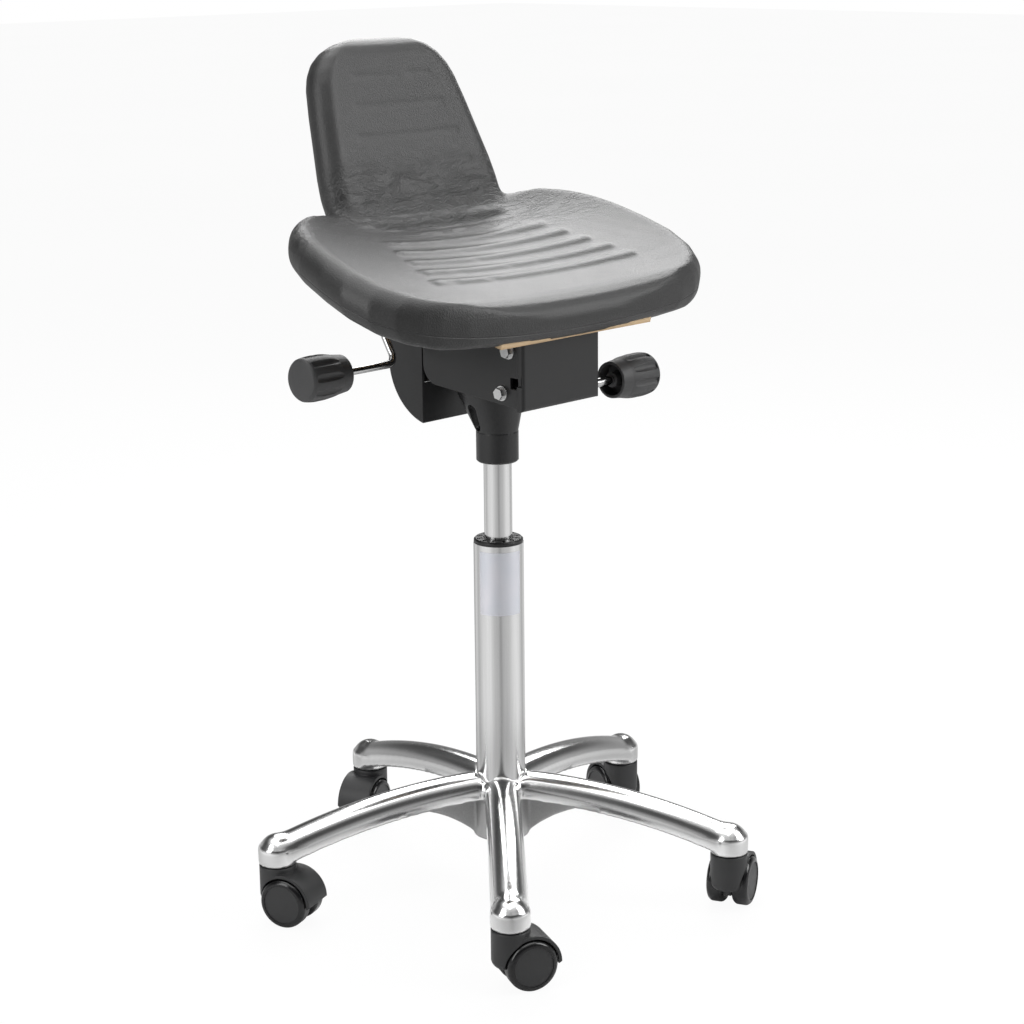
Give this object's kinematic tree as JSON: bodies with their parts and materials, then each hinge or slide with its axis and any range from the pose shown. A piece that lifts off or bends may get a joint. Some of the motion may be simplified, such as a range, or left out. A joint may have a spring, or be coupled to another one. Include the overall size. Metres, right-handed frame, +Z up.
{
  "type": "perch stool",
  "caption": "Height-adjustable perch stool with a sloping moulded seat and low back on a gas column, tilt mechanism, lever, tension knob and a star base on twin-wheel casters.",
  "frame": {"origin": "point on the floor under the axis of the column", "axes": "+Z up along the column, -Y the way the sitter faces, +X to the sitter's left"},
  "size_m": [0.4997, 0.4861, 0.8524],
  "materials": {
    "polished_aluminium": "mirror polished die casting, rough in the hollows",
    "chrome_tube": "bright chrome plating",
    "cap_plastic": "satin black moulding",
    "guide_plastic": "plain bearing plastic",
    "bare_steel": "bare rolled steel",
    "bright_steel": "ground bright steel",
    "buffer_rubber": "moulded rubber",
    "charcoal_paint": "satin charcoal powder coat",
    "cover_plastic": "satin charcoal moulding",
    "zinc_steel": "zinc plated",
    "bright_rod": "bright plated bar",
    "grip_plastic": "smooth satin black",
    "board_plywood": "birch plywood",
    "shell_polyurethane": "integral-skin polyurethane foam with a fine leather grain",
    "hood_plastic": "satin charcoal nylon",
    "wheel_plastic": "smooth black nylon with a glossy rim"
  },
  "bodies": {
    "base": {"star_base": "polished_aluminium", "column_tube": "chrome_tube", "column_cap": "cap_plastic", "column_guide": "guide_plastic", "column_floor": "bare_steel"},
    "rod": {"piston_rod": "bright_steel", "rod_clip": "bare_steel", "thrust_bearing": "bare_steel", "rubber_buffer": "buffer_rubber"},
    "carriage": {"gas_cylinder": "chrome_tube", "socket_cone": "charcoal_paint", "mechanism_housing": "charcoal_paint", "front_cover": "cover_plastic", "rear_cover": "cover_plastic", "housing_bolts": "zinc_steel", "tilt_pin": "bright_steel", "tilt_spring": "bare_steel"},
    "seat": {"seat_plate": "charcoal_paint", "pivot_bushes": "guide_plastic", "seat_board": "board_plywood", "seat_screws": "zinc_steel", "seat_shell": "shell_polyurethane"},
    "lever": {"height_lever": "bright_rod", "lever_grip": "grip_plastic"},
    "valve_pin": {"release_pin": "bright_steel"},
    "knob": {"tilt_spindle": "bright_rod", "tilt_knob": "grip_plastic"},
    "caster_front": {"stem_front": "zinc_steel", "hood_front": "hood_plastic", "axle_front": "zinc_steel"},
    "wheel_front_left": {"wheel_front_left": "wheel_plastic"},
    "wheel_front_right": {"wheel_front_right": "wheel_plastic"},
    "caster_right_front": {"stem_right_front": "zinc_steel", "hood_right_front": "hood_plastic", "axle_right_front": "zinc_steel"},
    "wheel_right_front_left": {"wheel_right_front_left": "wheel_plastic"},
    "wheel_right_front_right": {"wheel_right_front_right": "wheel_plastic"},
    "caster_right_back": {"stem_right_back": "zinc_steel", "hood_right_back": "hood_plastic", "axle_right_back": "zinc_steel"},
    "wheel_right_back_left": {"wheel_right_back_left": "wheel_plastic"},
    "wheel_right_back_right": {"wheel_right_back_right": "wheel_plastic"},
    "caster_left_back": {"stem_left_back": "zinc_steel", "hood_left_back": "hood_plastic", "axle_left_back": "zinc_steel"},
    "wheel_left_back_left": {"wheel_left_back_left": "wheel_plastic"},
    "wheel_left_back_right": {"wheel_left_back_right": "wheel_plastic"},
    "caster_left_front": {"stem_left_front": "zinc_steel", "hood_left_front": "hood_plastic", "axle_left_front": "zinc_steel"},
    "wheel_left_front_left": {"wheel_left_front_left": "wheel_plastic"},
    "wheel_left_front_right": {"wheel_left_front_right": "wheel_plastic"}
  },
  "joints": [
    {"name": "seat_swivel", "type": "hinge", "parent": "base", "child": "rod", "pos_m": [0, 0, 0.06], "axis": [0, 0, 1], "continuous": true},
    {"name": "seat_lift", "type": "slide", "parent": "rod", "child": "carriage", "axis": [0, 0, 1], "range_m": [-0.069, 0.12]},
    {"name": "seat_tilt", "type": "hinge", "parent": "carriage", "child": "seat", "pos_m": [0, 0.039, 0.547], "axis": [1, 0, 0], "range_deg": [-14, 0], "stiffness_Nm_per_rad": 25, "springref_deg": 8.59},
    {"name": "lever_lift", "type": "hinge", "parent": "carriage", "child": "lever", "pos_m": [-0.046, 0.0708, 0.585], "axis": [0, 1, 0], "range_deg": [0, 3.7], "stiffness_Nm_per_rad": 2, "springref_deg": -4.58},
    {"name": "valve_press", "type": "slide", "parent": "carriage", "child": "valve_pin", "axis": [0, 0, 1], "range_m": [-0.003, 0]},
    {"name": "tension_turn", "type": "hinge", "parent": "carriage", "child": "knob", "pos_m": [0, -0.074, 0.527], "axis": [1, 0, 0], "range_deg": [0, 360]},
    {"name": "swivel_front", "type": "hinge", "parent": "base", "child": "caster_front", "pos_m": [-0.16113, -0.17339, 0.06], "axis": [0, 0, 1], "continuous": true},
    {"name": "roll_front_left", "type": "hinge", "parent": "caster_front", "child": "wheel_front_left", "pos_m": [-0.14732, -0.17925, 0.025], "axis": [0.3907, 0.9205, 0], "continuous": true},
    {"name": "roll_front_right", "type": "hinge", "parent": "caster_front", "child": "wheel_front_right", "pos_m": [-0.14732, -0.17925, 0.025], "axis": [0.3907, 0.9205, 0], "continuous": true},
    {"name": "swivel_right_front", "type": "hinge", "parent": "base", "child": "caster_right_front", "pos_m": [0.11512, -0.20682, 0.06], "axis": [0, 0, 1], "continuous": true},
    {"name": "roll_right_front_left", "type": "hinge", "parent": "caster_right_front", "child": "wheel_right_front_left", "pos_m": [0.12882, -0.20072, 0.025], "axis": [-0.4067, 0.9135, 0], "continuous": true},
    {"name": "roll_right_front_right", "type": "hinge", "parent": "caster_right_front", "child": "wheel_right_front_right", "pos_m": [0.12882, -0.20072, 0.025], "axis": [-0.4067, 0.9135, 0], "continuous": true},
    {"name": "swivel_right_back", "type": "hinge", "parent": "base", "child": "caster_right_back", "pos_m": [0.23227, 0.04557, 0.06], "axis": [0, 0, 1], "continuous": true},
    {"name": "roll_right_back_left", "type": "hinge", "parent": "caster_right_back", "child": "wheel_right_back_left", "pos_m": [0.23641, 0.05999, 0.025], "axis": [-0.9613, 0.2756, 0], "continuous": true},
    {"name": "roll_right_back_right", "type": "hinge", "parent": "caster_right_back", "child": "wheel_right_back_right", "pos_m": [0.23641, 0.05999, 0.025], "axis": [-0.9613, 0.2756, 0], "continuous": true},
    {"name": "swivel_left_back", "type": "hinge", "parent": "base", "child": "caster_left_back", "pos_m": [0.02844, 0.23499, 0.06], "axis": [0, 0, 1], "continuous": true},
    {"name": "roll_left_back_left", "type": "hinge", "parent": "caster_left_back", "child": "wheel_left_back_left", "pos_m": [0.01443, 0.22961, 0.025], "axis": [0.3584, -0.9336, 0], "continuous": true},
    {"name": "roll_left_back_right", "type": "hinge", "parent": "caster_left_back", "child": "wheel_left_back_right", "pos_m": [0.01443, 0.22961, 0.025], "axis": [0.3584, -0.9336, 0], "continuous": true},
    {"name": "swivel_left_front", "type": "hinge", "parent": "base", "child": "caster_left_front", "pos_m": [-0.2147, 0.09966, 0.06], "axis": [0, 0, 1], "continuous": true},
    {"name": "roll_left_front_left", "type": "hinge", "parent": "caster_left_front", "child": "wheel_left_front_left", "pos_m": [-0.20957, 0.08556, 0.025], "axis": [0.9397, 0.342, 0], "continuous": true},
    {"name": "roll_left_front_right", "type": "hinge", "parent": "caster_left_front", "child": "wheel_left_front_right", "pos_m": [-0.20957, 0.08556, 0.025], "axis": [0.9397, 0.342, 0], "continuous": true}
  ],
  "couplings": [
    {"joint": "valve_press", "follows": "lever_lift", "m_per_rad": -0.046}
  ]
}
